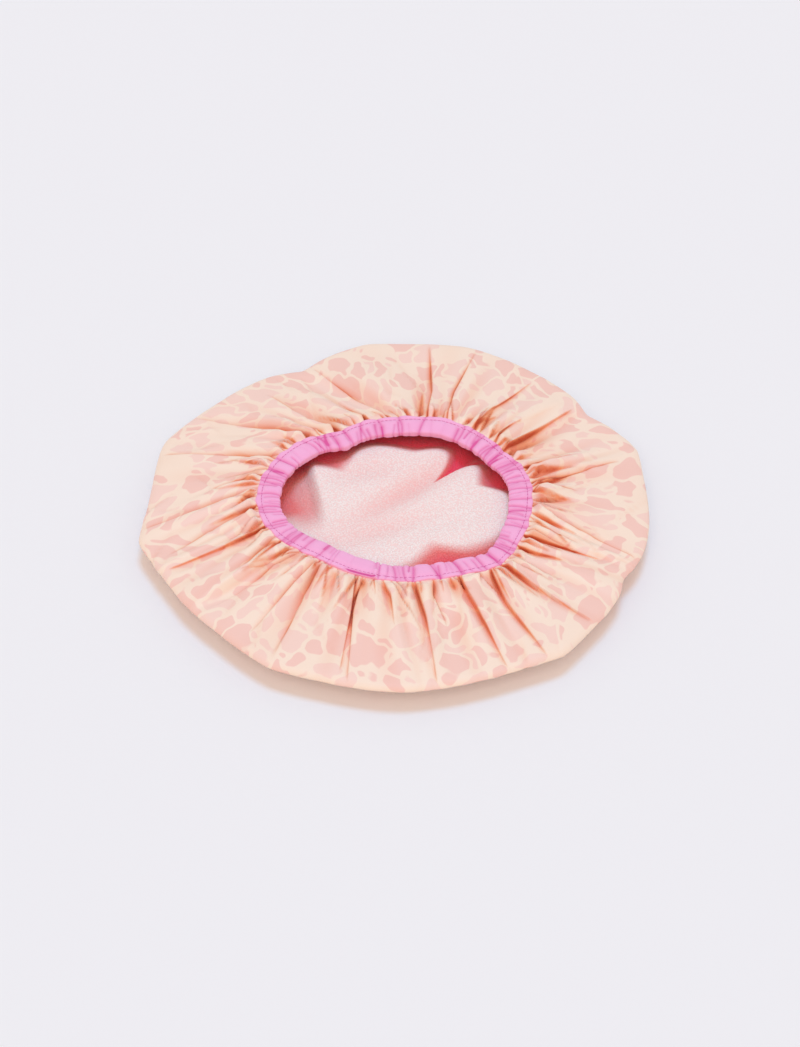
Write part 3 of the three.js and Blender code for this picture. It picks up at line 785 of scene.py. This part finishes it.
# Sewn flange: way in from the outer edge and half height, and where its section has points
FLANGE_PROFILE = (
    (0, 0.8), (0.12, 1.3), (0.5, 1.7), (2.0, FLANGE_HALF), (2.6, 1.8), (STITCH_LINE, GROOVE_HALF),
    (3.5, FLANGE_HALF),
)
FLANGE_POINTS = (0, 0.12, 0.5, 1.2, 2.0, 2.5, 2.8, STITCH_LINE, 3.2, 3.5)
# Channel of the elastic: an oval that is squarer than an ellipse, where its powers are below 1
CHANNEL_HALF = 2.7
CHANNEL_REACH = 5.25
CHANNEL_START = 157  # degrees
CHANNEL_POINTS = 20
CHANNEL_WAY_POWER = 0.85
CHANNEL_HEIGHT_POWER = 0.45
# Lap of the ends, and the slit that the loose upper end leaves along the outer edge
LAP_START = math.radians(-121)
LAP_END = math.radians(-98)
LAP_RAMP = 0.02
LAP_CLIFF = 0.008
LAP_RISE = 0.55
LAP_CREASES = ((LAP_START, 0.3), (LAP_START + 0.035, 0.3), (LAP_END + 0.012, 0.55))
LAP_CREASE_WIDTH = 0.45
SLIT_START = math.radians(-113)
SLIT_RAMP = 0.08
SLIT_WAY = 1.1
SLIT_HALF = 0.6
SLIT_DEPTH = 0.6
FREE_END = LAP_END - 0.015
FREE_END_HALF = 0.014
FREE_END_LIFT = 0.45
FREE_END_REACH = 0.9
# Ruches: where the tape lies calmer, a kink at the back, and lines across the tape by chance
CALM_STRETCHES = ((-124, -97), (131, 146), (62, 76))
CALM_RAMP = 0.06
KINK = math.radians(127)
KINK_CREASES = (KINK - 0.025, KINK + 0.03)
KINK_SLANT = 0.35
KINK_WIDTH = 0.9
KINK_DEPTH = 0.34
WHOLE_WIDTH = (-2, 18)
RUCHE_SEED = 5
RUCHE_MIDDLE = 8.0
RUCHE_BLUR = 1.0
RUCHE_BOW = 0.02
FINE_RUCHES = 115
FINE_GAPS = (2.2, 2.0)  # shape and scale of a gamma spread
FINE_SPANS = (WHOLE_WIDTH, (4, 18), (-2, 11), (7, 18))
FINE_SLANT = 0.2
FINE_WIDTH = (0.6, 1.5)
FINE_DEPTH = (0.2, 0.6)
FINE_CALM = 0.9
MAIN_RUCHES = 48
MAIN_GAPS = (6, 15)
MAIN_SLANT = 0.25
MAIN_CREASES = ((0.8, 0.42), (2.6, 0.22))  # width and depth of the crease and of the dip round it
MAIN_CALM = 0.8
# How far ruches draw the tape in: the doubled elastic at its join keeps the tape from falling in
PUFF_LEAST = 0.45
PUFF_MEAN = 0.85
ELASTIC_JOIN = math.radians(-135)
JOIN_REACH = math.radians(15)
JOIN_RAMP = 0.05
JOIN_STIFFNESS = 0.4
UNDERSIDE = 1.06  # the underside lies a little lower and is drawn in less
UNDERSIDE_DRAW = 0.25
INNER_EDGE = 10.5
INNER_DRAW = 2.0
INNER_LEAST = -0.25
OUTER_EDGE = 3.0
EDGE_WAVES = ((0.35, 23, 1), (0.25, 41, 0))  # size, waves round and phase
TAPE = colour(255, 186, 229)
# Painted shade: the tape darkens to deep pink in the creases of its ruches and in the slit under the lapped
# end
TAPE_CREASE_SHADE = colour(228, 84, 160)
CREASE_SHADE_POWER = 1.4
CREASE_SHADE_AMOUNT = 1.7
SLIT_SHADOW = 2.4
SHADE_MOST = 1.5
MOTTLE = 0.16
MOTTLE_SCALE = 120.0


def binding_section():
    """The tape's section: way in from the outer edge, half height, and the side (1 above, -1 below)."""
    bow = np.radians(np.linspace(CHANNEL_START, 0, CHANNEL_POINTS))
    out = np.sign(np.cos(bow)) * np.abs(np.cos(bow)) ** CHANNEL_WAY_POWER
    way = np.concatenate([FLANGE_POINTS, BINDING_WIDTH - CHANNEL_REACH + CHANNEL_REACH * out])
    flange_half = np.interp(FLANGE_POINTS, *np.transpose(FLANGE_PROFILE))
    half = np.concatenate([flange_half, CHANNEL_HALF * np.sin(bow) ** CHANNEL_HEIGHT_POWER])
    side = np.concatenate([np.ones(len(half)), -np.ones(len(half) - 1)])
    return np.concatenate([way, way[-2::-1]]), np.concatenate([half, half[-2::-1]]), side


tape_way, tape_half, tape_side = binding_section()
tape_turn = np.arange(BINDING_TURNS) * 2 * math.pi / BINDING_TURNS
tape_place = short_way(tape_turn)
tape_edge, tape_out = rim_line(tape_turn)
tape_length = np.cumsum(np.linalg.norm(np.roll(tape_edge, -1, 0) - tape_edge, axis=1))
on_lap = ease(LAP_START - LAP_RAMP, LAP_START + LAP_RAMP, tape_place)
on_lap = on_lap * (1 - ease(LAP_END, LAP_END + LAP_CLIFF, tape_place))
calm = np.zeros(BINDING_TURNS)
for low, high in np.radians(CALM_STRETCHES):
    calm += ease(low, low + CALM_RAMP, tape_place) * (1 - ease(high - CALM_RAMP, high, tape_place))
puff = np.ones((BINDING_TURNS, len(tape_way)))
tape_crease_shade = np.zeros_like(puff)


def ruche(at, width, depth, slant=0, bow=0, span=WHOLE_WIDTH):
    """Draws the tape in along one line across the binding, and paints shade into the crease."""
    off = tape_way - RUCHE_MIDDLE
    aside = short_way(tape_length[:, None] - at - (slant * off + bow * off**2)[None], tape_length[-1])
    start, end = span
    cover = ease(start - RUCHE_BLUR, start + RUCHE_BLUR, tape_way)
    cover = cover * (1 - ease(end - RUCHE_BLUR, end + RUCHE_BLUR, tape_way))
    drop = depth * cover[None] * np.exp(-np.abs(aside) / width)
    puff[:] -= drop
    tape_crease_shade[:] += drop**CREASE_SHADE_POWER


draw = np.random.default_rng(RUCHE_SEED)
for at in np.cumsum(draw.gamma(*FINE_GAPS, FINE_RUCHES)):
    if at < tape_length[-1]:
        span = FINE_SPANS[draw.integers(len(FINE_SPANS))]
        slant = draw.uniform(-FINE_SLANT, FINE_SLANT)
        bow = draw.uniform(-RUCHE_BOW, RUCHE_BOW)
        width = draw.uniform(*FINE_WIDTH)
        depth = draw.uniform(*FINE_DEPTH) * (1 - FINE_CALM * np.interp(at, tape_length, calm))
        ruche(at, width, depth, slant, bow, span)
for at in np.cumsum(draw.uniform(*MAIN_GAPS, MAIN_RUCHES)):
    if at < tape_length[-1]:
        slant = draw.uniform(-MAIN_SLANT, MAIN_SLANT)
        bow = draw.uniform(-RUCHE_BOW, RUCHE_BOW)
        quiet = 1 - MAIN_CALM * np.interp(at, tape_length, calm)
        for width, depth in MAIN_CREASES:
            ruche(at, width, depth * quiet, slant, bow)
for turn in KINK_CREASES:
    ruche(np.interp(turn, tape_turn, tape_length), KINK_WIDTH, KINK_DEPTH, KINK_SLANT)
for turn, depth in LAP_CREASES:
    ruche(np.interp(turn % (2 * math.pi), tape_turn, tape_length), LAP_CREASE_WIDTH, depth)
slit = ease(SLIT_START, SLIT_START + SLIT_RAMP, tape_place)
slit = slit * (1 - ease(LAP_END - LAP_RAMP, LAP_END, tape_place))
slit = slit[:, None] * np.exp(-(((tape_way - SLIT_WAY) / SLIT_HALF) ** 2))[None]
free_end = np.exp(-((short_way(tape_turn - FREE_END) / FREE_END_HALF) ** 2))[:, None]
stiff = 1 - ease(JOIN_REACH - JOIN_RAMP, JOIN_REACH, np.abs(short_way(tape_turn - ELASTIC_JOIN)))
puff = np.maximum(puff - SLIT_DEPTH * slit, PUFF_LEAST + JOIN_STIFFNESS * stiff[:, None])
height = tape_half * np.where(tape_side > 0, puff, UNDERSIDE - UNDERSIDE_DRAW * (1 - puff))
height = height + LAP_RISE * on_lap[:, None] + FREE_END_LIFT * free_end
wave = sum(size * np.sin(count * tape_turn + phase) for size, count, phase in EDGE_WAVES) * (1 - on_lap)
at_inner_edge = ease(INNER_EDGE, BINDING_WIDTH, tape_way)
inward = tape_way + wave[:, None] * (1 - ease(0, OUTER_EDGE, tape_way))
inward = inward + np.maximum(puff - PUFF_MEAN, INNER_LEAST) * INNER_DRAW * at_inner_edge
inward = inward + FREE_END_REACH * free_end * at_inner_edge
plan = tape_edge[:, None] - inward[..., None] * tape_out[:, None]
level = RIM_HEIGHT - BINDING_DROP * inward / BINDING_WIDTH + tape_side * height
tape_grid = np.concatenate([plan, level[..., None]], -1)


def rim_faces(turns, points):
    """Quads of a closed section carried round the rim."""
    turn, point = np.meshgrid(np.arange(turns), np.arange(points), indexing="ij")
    here = turn * points
    onward = (turn + 1) % turns * points
    after = (point + 1) % points
    return np.stack([here + point, onward + point, onward + after, here + after], -1).reshape(-1, 4)


tape_material, shader, add, feed = start_material("pink_tape", roughness=0.7, sheen=0.25)
place = add("TexCoord", {}).outputs["Object"]
crease_shade = add("Attribute", {}, attribute_name="crease_shade").outputs["Fac"]
mottle = add("TexNoise", {"Vector": place, "Scale": MOTTLE_SCALE, "Detail": 2.0}).outputs["Fac"]
# random mottle, plus the painted shade of the creases and the slit
tint = add("Math", {0: mottle, 1: MOTTLE, 2: crease_shade}, operation="MULTIPLY_ADD", use_clamp=True).outputs[0]
pink = add("MixRGB", {"Fac": tint, "Color1": TAPE, "Color2": TAPE_CREASE_SHADE}).outputs[0]
feed(shader.inputs["Base Color"], pink)
tape_weave = plain_weave(add, place, scale=560.0, waver=0.8, strength=0.4, depth=0.00008)
feed(shader.inputs["Normal"], tape_weave)
tape_faces = rim_faces(BINDING_TURNS, len(tape_way)).tolist()
binding = make_piece("pink_binding", tape_grid.reshape(-1, 3), tape_faces, tape_material)
# painted shade of the creases, and painted shadow in the slit
tape_painted_shade = np.clip(tape_crease_shade * CREASE_SHADE_AMOUNT + SLIT_SHADOW * slit, 0, SHADE_MOST)
set_point_values(binding, "crease_shade", tape_painted_shade.ravel())
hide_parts("binding_tape")
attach(binding, "rim")

# Lockstitch: a needle thread on the upper face of the binding and a bobbin thread on the lower one, in
# a row of short stitches 3 mm in from the outer edge, sewn through both leaves of the tape.
STITCH_PITCH = 2.5
STITCH_LENGTH = 2.1
STITCH_VARIES = (0.88, 1.06)
STITCH_PROUD = 0.1
THREAD_THICKNESS = 0.42
BEAD_SEGMENTS = 8
BEAD_RINGS = 5
THREAD = colour(226, 108, 178)
THREAD_SHADED = colour(205, 80, 152)
pink_thread = thread_finish("pink_thread", THREAD_SHADED, THREAD)


def stitch_tree(name, material):
    """Geometry nodes that lay one stitch on each point, along its direction, and make them real."""
    tree = bpy.data.node_groups.new(name, "GeometryNodeTree")
    sockets = {}
    for label, kind in (
        ("Geometry", "Geometry"), ("Stitch length", "Float"), ("Thread thickness", "Float"),
        ("Seed", "Int"),
    ):
        sockets[label] = tree.interface.new_socket(label, in_out="INPUT", socket_type="NodeSocket" + kind)
    tree.interface.new_socket("Geometry", in_out="OUTPUT", socket_type="NodeSocketGeometry")
    node = {}
    for label, kind in (
        ("given", "NodeGroupInput"), ("made", "NodeGroupOutput"), ("bead", "GeometryNodeMeshUVSphere"),
        ("size", "ShaderNodeCombineXYZ"), ("shaped", "GeometryNodeTransform"),
        ("along", "GeometryNodeInputNamedAttribute"), ("lie", "FunctionNodeAlignRotationToVector"),
        ("vary", "FunctionNodeRandomValue"), ("laid", "GeometryNodeInstanceOnPoints"),
        ("real", "GeometryNodeRealizeInstances"), ("finish", "GeometryNodeSetMaterial"),
    ):
        node[label] = tree.nodes.new(kind)
    node["bead"].inputs["Segments"].default_value = BEAD_SEGMENTS
    node["bead"].inputs["Rings"].default_value = BEAD_RINGS
    node["bead"].inputs["Radius"].default_value = 0.5
    node["along"].data_type = "FLOAT_VECTOR"
    node["along"].inputs["Name"].default_value = "along"
    node["lie"].axis = "X"
    node["vary"].data_type = "FLOAT"
    node["vary"].inputs[2].default_value = STITCH_VARIES[0]
    node["vary"].inputs[3].default_value = STITCH_VARIES[1]
    node["finish"].inputs["Material"].default_value = material
    for start, outlet, end, inlet in (
        ("given", "Stitch length", "size", "X"), ("given", "Thread thickness", "size", "Y"),
        ("given", "Thread thickness", "size", "Z"), ("given", "Seed", "vary", "Seed"),
        ("bead", "Mesh", "shaped", "Geometry"), ("size", "Vector", "shaped", "Scale"),
        ("along", "Attribute", "lie", "Vector"), ("given", "Geometry", "laid", "Points"),
        ("shaped", "Geometry", "laid", "Instance"), ("lie", "Rotation", "laid", "Rotation"),
        ("laid", "Instances", "real", "Geometry"), ("real", "Geometry", "finish", "Geometry"),
        ("finish", "Geometry", "made", "Geometry"),
    ):
        tree.links.new(node[start].outputs[outlet], node[end].inputs[inlet])
    tree.links.new(node["vary"].outputs[1], node["laid"].inputs["Scale"])
    return tree, sockets


def stitch_row(name, line, seed):
    """A row of stitches along a closed line of points in millimetres, as one plain mesh."""
    gaps = np.linalg.norm(np.roll(line, -1, 0) - line, axis=1)
    way = np.concatenate([[0], np.cumsum(gaps)])
    count = int(round(way[-1] / STITCH_PITCH))
    stops = np.arange(count) * way[-1] / count
    closed = np.concatenate([line, line[:1]])
    places = np.stack([np.interp(stops, way, closed[:, axis]) for axis in range(3)], -1)
    along = np.roll(places, -1, 0) - np.roll(places, 1, 0)
    mesh = bpy.data.meshes.new(name)
    mesh.from_pydata((places * MM).tolist(), [], [])
    row = bpy.data.objects.new(name, mesh)
    scene.collection.objects.link(row)
    set_point_values(row, "along", along)
    tree, sockets = stitch_tree(name + "_tree", pink_thread)
    maker = row.modifiers.new("stitches", "NODES")
    maker.node_group = tree
    maker[sockets["Stitch length"].identifier] = STITCH_LENGTH * MM
    maker[sockets["Thread thickness"].identifier] = THREAD_THICKNESS * MM
    maker[sockets["Seed"].identifier] = seed
    made = bpy.data.meshes.new_from_object(row.evaluated_get(bpy.context.evaluated_depsgraph_get()))
    row.modifiers.clear()
    row.data = made
    made.shade_smooth()
    return row


upper_line = int(np.argmin(np.abs(tape_way - STITCH_LINE) + (tape_side < 0)))
lower_line = len(tape_way) - 1 - upper_line
for name, node, line, seed in (
    ("needle_stitches", "binding_top_thread", upper_line, 3),
    ("bobbin_stitches", "binding_bobbin_thread", lower_line, 4),
):
    lifted = tape_grid[:, line] + (0, 0, STITCH_PROUD * tape_side[line])
    stitches = stitch_row(name, lifted, seed)
    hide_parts(node)
    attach(stitches, "rim")

# Floor and light: a plain pale floor in an even warm studio, with a soft cool key light from nearly
# overhead and a weak warm fill from the front. Lit cloth looks neutral, and shaded cloth warm.
FLOOR_HALF = 6
FLOOR_COLOUR = (0.9, 0.9, 0.925, 1)
STUDIO_COLOUR = (1, 0.82, 0.7, 1)
STUDIO_STRENGTH = 0.74
# Lights: name, strength, colour, spread in degrees, and the way that the light runs
LIGHTS = (
    ("key_light", 0.9, (0.25, 0.78, 1.24), 20, (-0.06, -0.15, -1)),
    ("fill_light", 0.6, (1, 0.78, 0.64), 40, (0.1, 0.9, -1)),
)
floor_mesh = bpy.data.meshes.new("floor")
floor_corners = [(x * FLOOR_HALF, y * FLOOR_HALF, 0) for x, y in ((-1, -1), (1, -1), (1, 1), (-1, 1))]
floor_mesh.from_pydata(floor_corners, [], [(0, 1, 2, 3)])
floor = bpy.data.objects.new("floor", floor_mesh)
scene.collection.objects.link(floor)
floor_material, shader, add, feed = start_material("pale_floor", roughness=0.9, sheen=0)
feed(shader.inputs["Base Color"], FLOOR_COLOUR)
floor_mesh.materials.append(floor_material)
world = bpy.data.worlds.new("studio")
world.use_nodes = True
world.node_tree.nodes["Background"].inputs["Color"].default_value = STUDIO_COLOUR
world.node_tree.nodes["Background"].inputs["Strength"].default_value = STUDIO_STRENGTH
scene.world = world
for name, energy, tint, spread, aim in LIGHTS:
    lamp_data = bpy.data.lights.new(name, "SUN")
    lamp_data.energy = energy
    lamp_data.color = tint
    lamp_data.angle = math.radians(spread)
    lamp = bpy.data.objects.new(name, lamp_data)
    lamp.rotation_euler = Vector(aim).to_track_quat("-Z", "Y").to_euler()
    scene.collection.objects.link(lamp)
